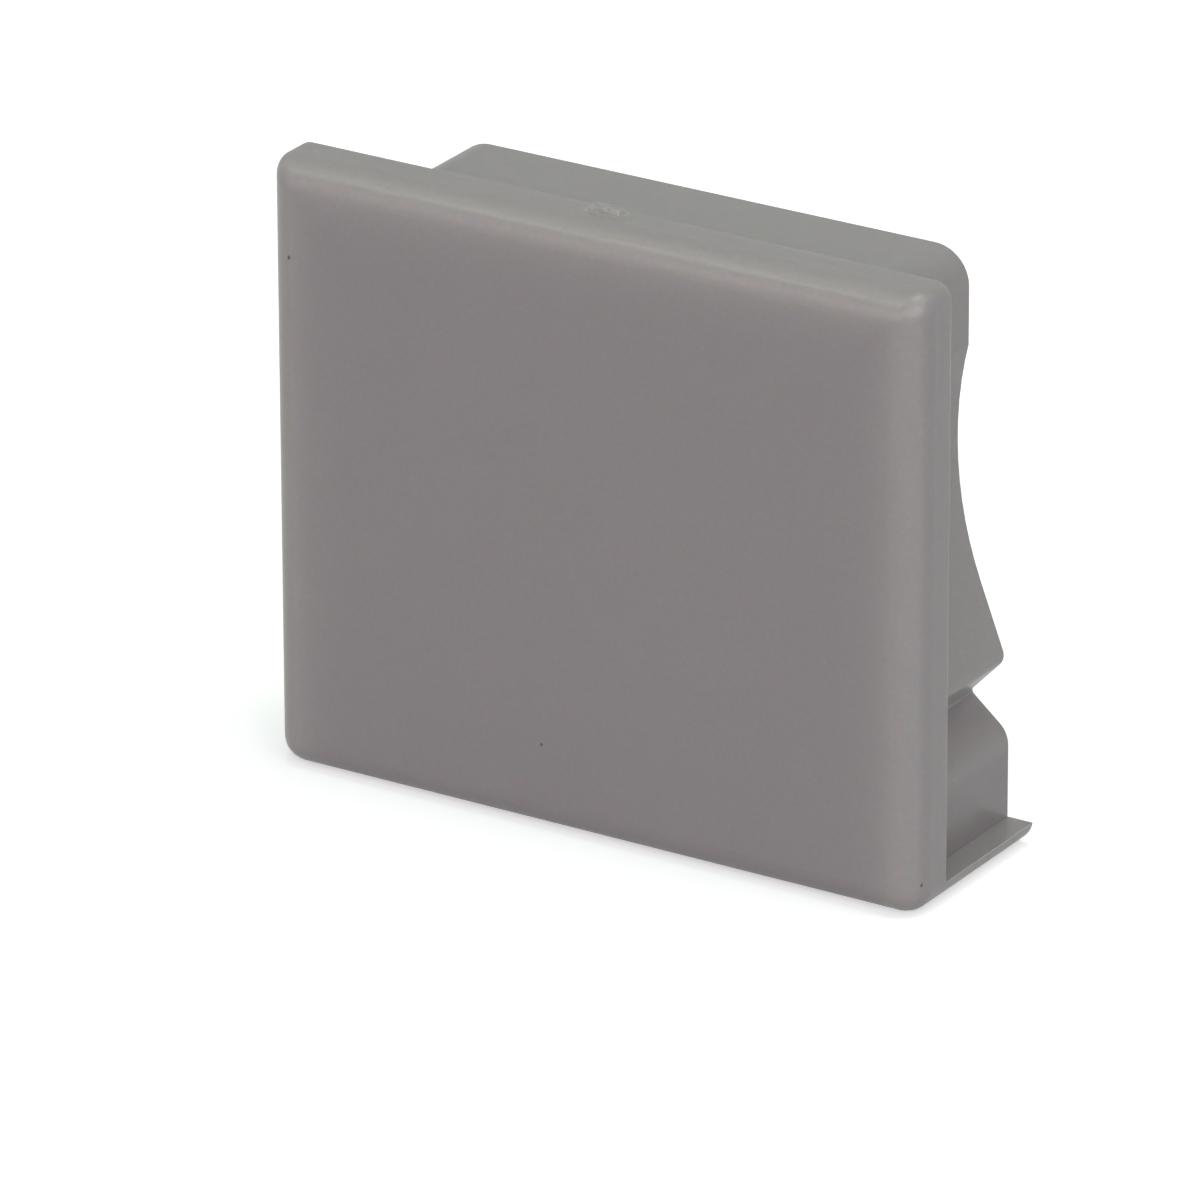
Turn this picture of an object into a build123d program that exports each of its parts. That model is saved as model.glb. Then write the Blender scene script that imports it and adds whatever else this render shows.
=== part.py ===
from build123d import *

import math
import os

# Push-in end cap for a hollow profile, moulded in one piece.
#
# A flat cover plate closes the profile's cut end.  Behind it stands an open plug whose section
# follows the inside of the profile: straight upper walls, a shallow round scallop in each side,
# a wall that flares out to a barb, a V-notch below the barb, and a foot block.  A thin sole under
# the foot lies flush with the plate's lower edge.
#
# Millimetres, Z up.  X = 0 is the middle of the cap, Y = 0 is the plane where the profile's cut
# end seats against the plate, and Z = 0 is the underside.  The plug points along +Y.

# Cover plate
plate_width = 25.0
plate_height = 21.7
plate_thickness = 1.95
top_corner_radius = 0.6
bottom_corner_radius = 0.9
front_edge_radius = 1.0

# Plug, with its upper walls measured in from the plate's edges
plug_depth = 5.7
plug_side_inset = 2.63
plug_top_inset = 1.22
plug_corner_radius = 1.3
plug_wall = 1.2
pocket_corner_radius = 0.3
rim_radius = 0.08
largest_rounding_share = 0.9

# Scallop in each side wall, with its depth measured from the wall's face, and the flare below
# it, with its angle to the vertical
scallop_radius = 14.0
scallop_depth = 0.375
flare_angle = 21.0

# Barb, V-notch and foot block, measured in from the plate's side, with angles to the horizontal
barb_inset = 1.1
barb_height = 6.38
barb_radius = 0.5
underside_angle = 46.5
notch_inset = 2.42
notch_radius = 0.15
shoulder_angle = 40.1
shoulder_radius = 0.95
foot_inset = 0.97
sole_thickness = 0.77

# Stub that stays on the parting line where the gate was broken off
gate_width = 1.2
gate_length = 0.5
gate_height = 0.16
gate_shift = -0.3
gate_taper = 30.0

# The corners of the plug's +X half, in the plane of its section
side_x = plate_width / 2
top_corner = Vector(side_x - plug_side_inset, plate_height - plug_top_inset)
barb_tip = Vector(side_x - barb_inset, barb_height)
notch_drop = (notch_inset - barb_inset) * math.tan(math.radians(underside_angle))
notch_root = Vector(side_x - notch_inset, barb_height - notch_drop)
shoulder_drop = (notch_inset - foot_inset) * math.tan(math.radians(shoulder_angle))
shoulder = Vector(side_x - foot_inset, notch_root.Y - shoulder_drop)

# The scallop is an arc that the flare from the barb's tip meets as a tangent.  Its upper end
# leaves a straight wall, and the rounding of the plug's top corner takes a share of it at most.
scallop_x = top_corner.X - scallop_depth + scallop_radius
tangent_run = (scallop_x - barb_tip.X) * math.cos(math.radians(flare_angle))
scallop_rise = (scallop_radius - tangent_run) / math.sin(math.radians(flare_angle))
scallop_centre = Vector(scallop_x, barb_tip.Y + scallop_rise)
scallop_half = math.sqrt(scallop_radius**2 - (scallop_radius - scallop_depth) ** 2)
straight_wall = top_corner.Y - scallop_centre.Y - scallop_half
top_rounding = min(plug_corner_radius, largest_rounding_share * straight_wall)


def round_corner(sketch, corner, radius):
    """Round the sketch's vertex nearest to a corner of the section, on both halves."""
    for side in (1, -1):
        place = Vector(side * corner.X, corner.Y)
        fillet(sketch.vertices().sort_by_distance(place)[0], radius)


def plate_outline():
    """The cover plate seen from the front."""
    with BuildSketch() as outline:
        Rectangle(plate_width, plate_height, align=(Align.CENTER, Align.MIN))
        fillet(outline.vertices().group_by(Axis.Y)[-1], top_corner_radius)
        fillet(outline.vertices().group_by(Axis.Y)[0], bottom_corner_radius)
    return outline.sketch


def plug_outline():
    """The plug's section with sharp corners, without the sole."""
    upper_angle = math.degrees(math.asin(scallop_half / scallop_radius))
    with BuildSketch() as outline:
        with BuildLine():
            scallop = CenterArc(
                scallop_centre, scallop_radius, 180 - upper_angle, upper_angle + flare_angle
            )
            Polyline((0, top_corner.Y), top_corner, scallop @ 0)
            Polyline(scallop @ 1, barb_tip, notch_root, shoulder, (shoulder.X, 0), (0, 0))
            Line((0, 0), (0, top_corner.Y))
        make_face()
        mirror(about=Plane.YZ)
    return outline.sketch


def plug_section():
    """The plug with its moulded corners, and the sole under its foot.

    The sole ends flush with the plate's rounded lower corners, so the plate's outline trims it.
    """
    with BuildSketch() as section:
        add(plug_outline())
        round_corner(section, top_corner, top_rounding)
        round_corner(section, barb_tip, barb_radius)
        round_corner(section, notch_root, notch_radius)
        round_corner(section, shoulder, shoulder_radius)
        Rectangle(plate_width, sole_thickness, align=(Align.CENTER, Align.MIN))
        add(plate_outline(), mode=Mode.INTERSECT)
    return section.sketch


def pocket_section():
    """The pocket's section, one wall in from the plug's outline all round."""
    with BuildSketch() as section:
        add(plug_outline())
        offset(amount=-plug_wall)
        for corner in (top_corner, barb_tip, shoulder, Vector(shoulder.X, 0)):
            round_corner(section, corner, pocket_corner_radius)
    return section.sketch


with BuildPart() as end_cap:
    # Cover plate, with its front edges rounded
    with BuildSketch(Plane.XZ):
        add(plate_outline())
    extrude(amount=plate_thickness)
    fillet(end_cap.faces().sort_by(Axis.Y)[0].edges(), front_edge_radius)

    # Plug and sole, one section through their whole depth
    with BuildSketch(Plane.XZ):
        add(plug_section())
    extrude(amount=-plug_depth)

    # Pocket, open at the back, with the cover plate as its floor
    with BuildSketch(Plane.XZ):
        add(pocket_section())
    extrude(amount=-plug_depth, mode=Mode.SUBTRACT)
    fillet(end_cap.faces().sort_by(Axis.Y)[-1].outer_wire().edges(), rim_radius)

    # Gate stub on the plate's upper edge, against the seat plane
    with BuildSketch(Plane.XY.offset(plate_height)):
        with Locations((gate_shift, -gate_length / 2)):
            Rectangle(gate_width, gate_length)
    extrude(amount=gate_height, taper=gate_taper)

end_cap.part.label = "end_cap"

os.makedirs("parts", exist_ok=True)
export_step(end_cap.part, "parts/end_cap.step")

size = end_cap.part.bounding_box().size
print(f"end_cap {size.X:.2f} x {size.Y:.2f} x {size.Z:.2f} mm, {end_cap.part.volume:.0f} mm3")
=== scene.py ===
# %% [markdown]
# # A push-in end cap, moulded in grey plastic
#
# The real thing is one small moulding that closes the cut end of a hollow profile.  Its front is
# a plain cover plate, and behind the plate stands a plug that follows the inside of the profile.
# The cap could be modelled again here as a mesh, but the solid model already has every face of it
# at its true size, so this script never reshapes it.  It gives the cap its finish and the small
# marks that moulding leaves, and then a floor, soft light and a camera.

# %% Load the solid model
import math

import bpy
from mathutils import Matrix, Vector


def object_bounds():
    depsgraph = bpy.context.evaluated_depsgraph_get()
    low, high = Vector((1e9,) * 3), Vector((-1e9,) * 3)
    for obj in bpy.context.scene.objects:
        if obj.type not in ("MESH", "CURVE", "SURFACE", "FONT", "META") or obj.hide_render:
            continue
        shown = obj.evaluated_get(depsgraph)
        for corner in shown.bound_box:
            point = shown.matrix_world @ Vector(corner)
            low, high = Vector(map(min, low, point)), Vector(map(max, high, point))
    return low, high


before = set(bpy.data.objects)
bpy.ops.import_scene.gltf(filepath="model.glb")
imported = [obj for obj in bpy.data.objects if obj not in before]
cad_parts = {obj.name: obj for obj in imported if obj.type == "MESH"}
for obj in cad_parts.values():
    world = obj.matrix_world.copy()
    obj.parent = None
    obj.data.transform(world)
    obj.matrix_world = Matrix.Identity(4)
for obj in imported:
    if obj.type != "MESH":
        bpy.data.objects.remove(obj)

mm = 0.001
solid_low, solid_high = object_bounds()
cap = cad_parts["end_cap"]
print("nodes:", sorted(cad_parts))
print("solid model, mm:", [round(side / mm, 2) for side in solid_high - solid_low])

# %% [markdown]
# ## The camera
#
# A long lens from about 0.4 m keeps the plate's edges nearly parallel, which is how small parts
# are shown in a catalogue.  The three directions of the picture are worked out from two angles
# and a slight roll, and the camera is set on them.  A track-to constraint could aim it as well,
# but then the roll and the cap's place in the picture would be harder to state.

# %% Directions of the picture
azimuth = math.radians(32.18)
elevation = math.radians(22.86)
roll = math.radians(-0.185)

back = Vector((
    math.sin(azimuth) * math.cos(elevation),
    -math.cos(azimuth) * math.cos(elevation),
    math.sin(elevation),
))
level = Vector((math.cos(azimuth), math.sin(azimuth), 0))
upright = back.cross(level)
right = level * math.cos(roll) + upright * math.sin(roll)
up = upright * math.cos(roll) - level * math.sin(roll)
print("towards the camera:", [round(x, 3) for x in back])

# %% Camera
distance = 384.379 * mm
shift_right = -1.647 * mm
shift_up = -3.333 * mm
focal_length = 350.6
sensor_width = 36

lens = bpy.data.cameras.new("camera")
lens.lens = focal_length
lens.sensor_width = sensor_width
camera = bpy.data.objects.new("camera", lens)
middle = (solid_low + solid_high) / 2
stand = middle + back * distance + right * shift_right + up * shift_up
turn = Matrix((right, up, back)).transposed().to_4x4()
camera.matrix_world = Matrix.Translation(stand) @ turn
bpy.context.scene.collection.objects.link(camera)
bpy.context.scene.camera = camera
print("camera at, mm:", [round(x / mm, 1) for x in camera.matrix_world.translation])

# %% [markdown]
# ## Writing shader maths as Python
#
# A finish is a net of nodes, and a net is hard to read in a script.  The small class below wraps
# one socket, so that an expression such as `1 - mask` adds the Math node that it means.  Every
# other node comes from a single method, which takes the node's settings first and then what goes
# into its sockets.


# %% A socket that takes part in expressions
class Wire:
    """One output of a node.  Arithmetic on it adds Math nodes to its finish."""

    def __init__(self, finish, socket):
        self.finish = finish
        self.socket = socket

    def maths(self, operation, *values):
        """Add a Math node that works on these values, in this order."""
        return self.finish.node("Math", {"operation": operation}, dict(enumerate(values)))

    def __add__(self, other):
        return self.maths("ADD", self, other)

    def __radd__(self, other):
        return self.maths("ADD", other, self)

    def __sub__(self, other):
        return self.maths("SUBTRACT", self, other)

    def __rsub__(self, other):
        return self.maths("SUBTRACT", other, self)

    def __mul__(self, other):
        return self.maths("MULTIPLY", self, other)

    def __rmul__(self, other):
        return self.maths("MULTIPLY", other, self)

    def __abs__(self):
        return self.maths("ABSOLUTE", self)


# %% The method that adds a node
class Finish:
    """A node tree under construction, for a material or for the world."""

    def __init__(self, owner):
        owner.use_nodes = True
        self.tree = owner.node_tree
        self.tree.nodes.clear()

    def node(self, kind, settings, sockets, output=0):
        """Add a node, set it up, then fill or link its sockets, and give back one output."""
        made = self.tree.nodes.new("ShaderNode" + kind)
        for name, value in settings.items():
            setattr(made, name, value)
        for name, value in sockets.items():
            if isinstance(value, Wire):
                self.tree.links.new(value.socket, made.inputs[name])
            else:
                made.inputs[name].default_value = value
        return Wire(self, made.outputs[output]) if made.outputs else None


# %% [markdown]
# ## The grey plastic
#
# The cap is moulded in a soft grey plastic with a satin face.  Grey pigment makes it nearly
# opaque, yet light still enters a short way, which softens the corners and makes the plate's rim
# look paler than its middle.  A flat grey with a fixed roughness would look like paint, so the
# finish is put together from the things that show on a moulding: the rim, the faint clouds that
# the melt leaves as it flows, the fine texture of the mould's spark-eroded steel, a few specks of
# burnt material, and the torn spot where the gate was broken off.  All of them are worked out
# from the place of a point in millimetres, so they stay on the cap from every side.

# %% The place of a point on the cap, in millimetres
material = bpy.data.materials.new("grey_plastic")
plastic = Finish(material)
place = plastic.node("TexCoord", {}, {}, "Object")
place_mm = plastic.node("VectorMath", {"operation": "SCALE"}, {0: place, "Scale": 1 / mm})
across = plastic.node("SeparateXYZ", {}, {0: place_mm}, "X")
behind = plastic.node("SeparateXYZ", {}, {0: place_mm}, "Y")
above = plastic.node("SeparateXYZ", {}, {0: place_mm}, "Z")
low = solid_low / mm
high = solid_high / mm
print("the cap fills, mm:", [round(x, 2) for x in low], "to", [round(x, 2) for x in high])


# %% Helpers that compare and measure
def lesser(first, second):
    """The smaller of two values, of which the first is a Wire."""
    return first.maths("MINIMUM", first, second)


def greater(first, second):
    """The larger of two values, of which the first is a Wire."""
    return first.maths("MAXIMUM", first, second)


def stretched(factors):
    """The place of a point, with each of its three directions multiplied by its own factor."""
    return plastic.node("VectorMath", {"operation": "MULTIPLY"}, {0: place_mm, 1: factors})


def distance_between(where, centre):
    """How far the place of a point, stretched or not, lies from a fixed centre."""
    return plastic.node("VectorMath", {"operation": "DISTANCE"}, {0: where, 1: centre}, "Value")


# %% Helpers for masks, noise and colours
def fall(value, start, end):
    """1 up to start, then a smooth fall to 0 at end."""
    return plastic.node(
        "MapRange",
        {"interpolation_type": "SMOOTHSTEP"},
        {"Value": value, "From Min": start, "From Max": end, "To Min": 1.0, "To Max": 0.0},
    )


def rise(value, start, end):
    """0 up to start, then a smooth climb to 1 at end."""
    return 1 - fall(value, start, end)


def noise(per_mm, detail, where=place_mm, output=0):
    """A soft random field around 0.5, with about this many blobs to a millimetre."""
    sockets = {"Vector": where, "Scale": per_mm, "Detail": detail}
    return plastic.node("TexNoise", {}, sockets, output)


def tint(mask, below, over):
    """The colour below where the mask is 0, and the colour over it where the mask is 1."""
    return plastic.node("Mix", {"data_type": "RGBA"}, {0: mask, 6: below, 7: over}, 2)


# %% [markdown]
# ## The paler rim
#
# Near an edge the plastic is lit from two sides, and some of the light that enters one face comes
# out of the other.  Subsurface scattering in the shader gives a little of that, but a grey this
# dark swallows most of it, so the rest is a colour that fades in from the rounded edges.  The
# distance from the edge is the larger of two depths: in from the sides and the top, and back
# from the front.  The second one is multiplied, which makes the pale band shorter on the plate's
# sides and top than on its face.  The lower edge has no such rim, because the cap stands on it.

# %% Rim mask
rounding = 1.0
fade = 0.65
shorter_on_sides = 2.5
gate_height = 0.16

plate_top = high.z - gate_height
from_side = lesser(across - low.x, high.x - across)
from_edge = lesser(from_side, plate_top - above)
from_front = (behind - low.y) * shorter_on_sides
past_rounding = greater(greater(from_edge, from_front) - rounding, 0.0)
rim = plastic.node("Math", {"operation": "EXPONENT"}, {0: past_rounding * (-1 / fade)})
print("past the rounding, the rim fades to a third in", round(fade * math.log(3), 2), "mm")

# %% [markdown]
# ## Clouds in the grey
#
# The melt carries its pigment in long soft streaks.  They differ by only a few percent, a little
# pinker where they are dark.  One large noise, drawn out along the plate, gives the clouds, and
# a small one gives the fine mottle that is left between them.  A painted picture could be wrapped
# round the cap instead, but noise worked out in three dimensions has no seams at the edges.

# %% Body colour
dark_grey = (0.258, 0.236, 0.244, 1)
light_grey = (0.274, 0.252, 0.254, 1)
rim_grey = (0.322, 0.302, 0.293, 1)
drawn_out = (0.4, 1, 1)
cloud_share = 0.5

clouds = noise(per_mm=0.45, detail=3.0, where=stretched(drawn_out))
mottle = noise(per_mm=7.0, detail=2.0)
grey = tint(clouds * cloud_share + mottle * (1 - cloud_share), dark_grey, light_grey)
body = tint(rim, grey, rim_grey)
print("the rim's grey is", round(rim_grey[0] / light_grey[0], 2), "times the body's light grey")

# %% [markdown]
# ## Pigment flecks
#
# Seen from close by, the pigment is a mix of grains that lean to red, green or blue.  The colour
# output of one noise has a random field for each of the three.  It is brought down to a small
# swing around 1 and multiplies the grey.  Three separate noises would do the same with more nodes.

# %% Flecks
fleck_swing = Vector((0.30, 0.19, 0.25))

fleck_colours = noise(per_mm=6.0, detail=3.0, output="Color")
flecks = plastic.node(
    "VectorMath",
    {"operation": "MULTIPLY_ADD"},
    {0: fleck_colours, 1: fleck_swing, 2: Vector((1, 1, 1)) - fleck_swing / 2},
)
body = plastic.node("VectorMath", {"operation": "MULTIPLY"}, {0: body, 1: flecks})
print("flecks swing the red by", round(fleck_swing.x / 2 * 100), "percent at most, either way")

# %% [markdown]
# ## Under the barb
#
# Painted shade: the walls of the recess between the barb and the sole are painted a shade darker
# than the rest, where shade falls under the barb.  The painted shade is halved where the shoulder
# turns into the foot, as a painted highlight on that rounding.  The barb's own underside is the
# opposite: it is painted paler, as painted light for the light it catches from the floor below.
# Each mark could be painted on faces picked by hand, but the cap's heights are known, so both are
# bands of height with soft ends, kept to the plug's side of the seat plane and to the outer skin.

# %% The outer skin of the plug
seat_band = (0.0, 0.1)
skin_band = (2.44, 2.54)

outer_skin = rise(behind, *seat_band) * fall(from_side, *skin_band)
print("outer skin: up to", skin_band[1], "mm in from the plate's sides, behind the seat plane")

# %% Painted shade in the recess
# painted shade: the recess walls under the barb are painted darker, where shade falls
recess_shade_grey = (0.212, 0.192, 0.196, 1)
recess_shade_cover = 0.8
recess_shade_starts = (0.74, 0.8)
recess_shade_ends = (4.4, 5.0)
turn_height = 3.5
turn_highlight_band = (0.1, 0.6)
turn_highlight_share = 0.5

# painted highlight: the painted shade is halved where the shoulder rounds into the foot
painted_turn_highlight = fall(abs(above - turn_height), *turn_highlight_band) * turn_highlight_share
painted_recess_shade = outer_skin * rise(above, *recess_shade_starts) * fall(above, *recess_shade_ends) * (1 - painted_turn_highlight)
body = tint(painted_recess_shade * recess_shade_cover, body, recess_shade_grey)
print("film from", recess_shade_starts[1], "to", recess_shade_ends[1], "mm up, rubbed at", turn_height, "mm")

# %% Painted light on the barb's underside
# painted light: the barb's underside is painted paler, for the light it catches from the floor
# below
underside_light_grey = (0.385, 0.365, 0.355, 1)
underside_light_starts = (5.0, 5.15)
underside_light_ends = (5.9, 6.25)

painted_underside_light = outer_skin * rise(above, *underside_light_starts) * fall(above, *underside_light_ends)
body = tint(painted_underside_light, body, underside_light_grey)
print("lip from", underside_light_starts[0], "to", underside_light_ends[1], "mm up")

# %% [markdown]
# ## Burnt specks
#
# Scraps of overheated plastic are caught in the surface here and there: tiny brown-black dots,
# a little taller than wide.  Each one is a mask around a point, measured with the height
# shortened so that a round mask becomes an oval.  Random dots would do as well, but three chosen
# ones are easier to check and stay where they are.

# %% Specks
speck_colour = (0.035, 0.029, 0.026, 1)
speck_cover = 0.9
speck_core = 0.2
shortened = 0.75
specks = (
    ((-11.6, -1.94, 18.33), 0.085),
    ((-1.85, -1.95, 3.1), 0.07),
    ((12.4, -1.39, 1.17), 0.075),
)

oval = stretched((1, 1, shortened))
for (speck_x, speck_y, speck_z), reach in specks:
    away = distance_between(oval, (speck_x, speck_y, speck_z * shortened))
    body = tint(fall(away, speck_core * reach, reach) * speck_cover, body, speck_colour)
print("specks:", len(specks))

# %% [markdown]
# ## The gate scar
#
# The melt entered through a small gate on the plate's upper edge.  Breaking it off leaves the
# stub that the solid model has, and around it a ragged patch where the skin is torn: pale raised
# lips with darker pits between them.  The tear could be carved into the mesh, but it is only
# about a hundredth of a millimetre deep, which a finish shows as well.  A ridged noise, kept to
# an oval round the stub, gives both the colour and the height of the tear.

# %% Torn patch
tear_centre = Vector((-0.13, -0.5, plate_top))
tear_shape = Vector((0.6, 1.0, 1.0))
tear_edge = (0.38, 0.62)
raggedness = 0.7

from_tear = distance_between(stretched(tear_shape), tear_centre * tear_shape)
ragged = from_tear + (noise(per_mm=3.5, detail=3.0) - 0.5) * raggedness
torn = fall(ragged, *tear_edge)
print("the tear ends from", tear_edge[0], "to", tear_edge[1], "mm behind and before its centre")

# %% Lips and pits in the tear
pale_lip = (0.345, 0.335, 0.325, 1)
dull_pit = (0.215, 0.205, 0.2, 1)
fold_width = 0.08
lip_cover = 0.4
pit_cover = 0.15

lips = fall(abs(noise(per_mm=2.6, detail=3.0) - 0.5), 0.0, fold_width)
body = tint(torn * lips * lip_cover, body, pale_lip)
body = tint(torn * (1 - lips) * pit_cover, body, dull_pit)
print("in the tear, lips cover", lip_cover, "of the colour under them, and pits", pit_cover)

# %% The stub and its flanks, from its height as shares of 1, counted down from its top; the flanks get painted light
stub_foot = (0.75, 1.0)
painted_flank_top = (0.02, 0.12)

below_stub_top = (high.z - above) * (1 / gate_height)
stub = fall(below_stub_top, *stub_foot)
# painted light: the stub's sides face the front and fall into shade, so they are painted paler
painted_light_flank = stub * rise(below_stub_top, *painted_flank_top)
print("stub:", gate_height, "mm proud of the plate")

# %% Painted light in a ring round the stub's foot, on the plate's top, against the shade there
gate_middle = -0.3
gate_half_width = 0.6
gate_length = 0.5
painted_skirt_edge = (0.03, 0.22)
top_starts = plate_top - 0.1
top_full = plate_top - 0.02

beside = abs(across - gate_middle)
from_stub = greater(beside - gate_half_width, -gate_length - behind)
on_plate_top = rise(above, top_starts, top_full)
# painted light: a paler ring round the stub's foot paints out the shade in that corner
painted_light_skirt = fall(from_stub, *painted_skirt_edge) * (1 - stub) * on_plate_top
print("skirt:", painted_skirt_edge[1], "mm wide round a stub", 2 * gate_half_width, "mm wide")

# %% Colour of the stub, with painted light on its flanks and round its foot
scar_and_painted_light_grey = (0.36, 0.35, 0.335, 1)
stub_lip_cover = 0.25
painted_flank_cover = 0.4
painted_skirt_cover = 0.55

# the pale lips on the stub's top are its own whitened colour; the flanks and the ring are painted
# light
scar_and_painted_light = stub * lips * stub_lip_cover + painted_light_flank * painted_flank_cover + painted_light_skirt * painted_skirt_cover
body = tint(scar_and_painted_light, body, scar_and_painted_light_grey)
print("the scar's grey is", round(scar_and_painted_light_grey[0] / light_grey[0], 2), "times the body's light grey")

# %% [markdown]
# ## Relief and gloss
#
# Spark-eroded steel leaves a skin of tiny rounded bumps, about a tenth of a millimetre across,
# which is what makes the face satin.  They are far too small to model, so they go through a Bump
# node, with the lips of the tear added where the gate was.  The gloss varies a little with the
# same clouds as the colour, and the rubbed edges shine a little more than the faces.

# %% Relief, with its depths in millimetres
grain_depth = 0.0045
cloud_depth = 0.02
tear_depth = 0.012

grain = noise(per_mm=9.0, detail=2.0)
relief = grain * grain_depth + clouds * cloud_depth + torn * lips * tear_depth
bump = plastic.node("Bump", {}, {"Height": relief, "Strength": 1.0, "Distance": mm})
print("relief, mm: grain", grain_depth, "clouds", cloud_depth, "tear", tear_depth)

# %% Gloss
satin = 0.36
cloud_dulling = 0.06
torn_dulling = 0.1
rim_polish = 0.05

roughness = satin + clouds * cloud_dulling + torn * torn_dulling - rim * rim_polish
print("roughness from", satin, "up, torn skin", torn_dulling, "more, rim", rim_polish, "less")

# %% The plastic's shader
scattering = 0.25
colour_reach = (1.0, 0.95, 0.8)

surface = plastic.node("BsdfPrincipled", {}, {
    "Base Color": body,
    "Roughness": roughness,
    "Normal": bump,
    "Subsurface Weight": 1.0,
    "Subsurface Radius": colour_reach,
    "Subsurface Scale": scattering * mm,
})
plastic.node("OutputMaterial", {}, {"Surface": surface})
cap.data.materials.clear()
cap.data.materials.append(material)
print("finish:", len(plastic.tree.nodes), "nodes; red light goes in", scattering, "mm")

# %% [markdown]
# ## The floor and the air around it
#
# Small parts are shown on a plain white sweep.  Three things are asked of it here: it looks white
# to the eye, it keeps the cap's own shadow, and it throws only a little light back up, as a sweep
# does once the cap's shadow has dimmed the paper round it.  One white paint can't do the last two
# together, so the shader asks what kind of ray has arrived.  A ray that the eye sees, straight or
# in a reflection, finds pale paper with a little glow added.  A ray that carries soft light from
# surface to surface finds dull paper.  The air does the same with a plain background: white to
# the eye, and a dimmer, even light on the cap.


# %% Rays that the eye sees
def eye_rays(finish):
    """1 for a ray that reaches the eye straight, in a reflection or through glass."""
    straight = finish.node("LightPath", {}, {}, "Is Camera Ray")
    mirrored = finish.node("LightPath", {}, {}, "Is Glossy Ray")
    through = finish.node("LightPath", {}, {}, "Is Transmission Ray")
    return straight + mirrored + through


# %% Floor
floor_side = 4

bpy.ops.mesh.primitive_plane_add(size=floor_side)
floor = bpy.context.object
floor.name = "floor"
print("floor:", floor_side, "m square")

# %% Paper on the floor
paper_grey = 0.8
paper_glow = 0.45
returned_grey = 0.3

paint = bpy.data.materials.new("floor_paint")
paper = Finish(paint)
pale = paper.node("BsdfDiffuse", {}, {"Color": (paper_grey, paper_grey, paper_grey, 1)})
glow = paper.node("Emission", {}, {"Strength": eye_rays(paper) * paper_glow})
seen = paper.node("AddShader", {}, {0: pale, 1: glow})
dull = paper.node("BsdfDiffuse", {}, {"Color": (returned_grey, returned_grey, returned_grey, 1)})
soft_ray = paper.node("LightPath", {}, {}, "Is Diffuse Ray")
sweep = paper.node("MixShader", {}, {0: soft_ray, 1: seen, 2: dull})
paper.node("OutputMaterial", {}, {"Surface": sweep})
floor.data.materials.append(paint)
print("the paper returns", returned_grey, "of the soft light that falls on it")

# %% Air
ambient = 0.3

air = bpy.data.worlds.new("studio")
bpy.context.scene.world = air
sky = Finish(air)
haze = sky.node("Background", {}, {"Strength": ambient + eye_rays(sky) * (1 - ambient)})
sky.node("OutputWorld", {}, {"Surface": haze})
print("the air lights the cap at", ambient, "and looks like", 1.0)

# %% [markdown]
# ## The lamps
#
# Round softboxes stand about 0.6 m from the cap, each aimed at its middle.  Every face of the cap
# points to a different mix of them, so their strengths set how light each face is.  The largest
# share comes from the front right, which evens out the plate and the plug's side.  The overhead
# one makes the top faces the palest, and a small one high on the left draws the thin bright line
# along the plate's upper edge.  The one behind lights mainly the open back and the pocket, so it
# is weak and stands low and a little to the left, where the plug's right side can't see it.  The
# colours are tints of white: green from above, warm from the front left, a little blue from the
# front right and yellow from the upper right.  A sky picture could light the cap too, but
# separate lamps can be put out one by one to see what each of them does.


# %% Softbox helper
def softbox(name, offset, size, watts, colour):
    """A round lamp at this offset from the cap's middle, in metres, aimed at the middle."""
    lamp = bpy.data.lights.new(name, "AREA")
    lamp.shape = "DISK"
    lamp.size = size
    lamp.energy = watts
    lamp.color = colour
    from_middle = Vector(offset)
    box = bpy.data.objects.new(name, lamp)
    box.location = middle + from_middle
    box.rotation_euler = (-from_middle).to_track_quat("-Z", "Y").to_euler()
    bpy.context.scene.collection.objects.link(box)
    print(f"{name}: {watts} W, {size} m across, {from_middle.length:.2f} m away")


# %% Softboxes
softbox("overhead", (0.05, 0.03, 0.6), 0.3, 1.05, (0.79, 1, 0.9))
softbox("left", (-0.6, 0, 0.15), 0.4, 0.16, (1, 1, 0.88))
softbox("front_left", (-0.15, -0.58, 0.15), 0.4, 0.848, (1, 0.83, 0.79))
softbox("front_right", (0.42, -0.42, 0.15), 0.8, 3.85, (0.91, 0.89, 1))
softbox("right_top", (0.3, 0.15, 0.5), 0.4, 0.728, (0.98, 1, 0.69))
softbox("behind", (-0.12, 0.6, 0.05), 0.2, 0.4, (1, 1, 1))
softbox("spark", (-0.295, -0.27, 0.447), 0.07, 0.224, (0.8, 1, 0.82))

# %% [markdown]
# ## Colours as written
#
# The Standard view shows a colour as it is written.  The film-like view that Blender starts with
# is kinder to very bright scenes, but here it would grey the whites and soften the contrast.

# %% View
view = bpy.context.scene.view_settings
view.view_transform = "Standard"
print("view:", view.view_transform)
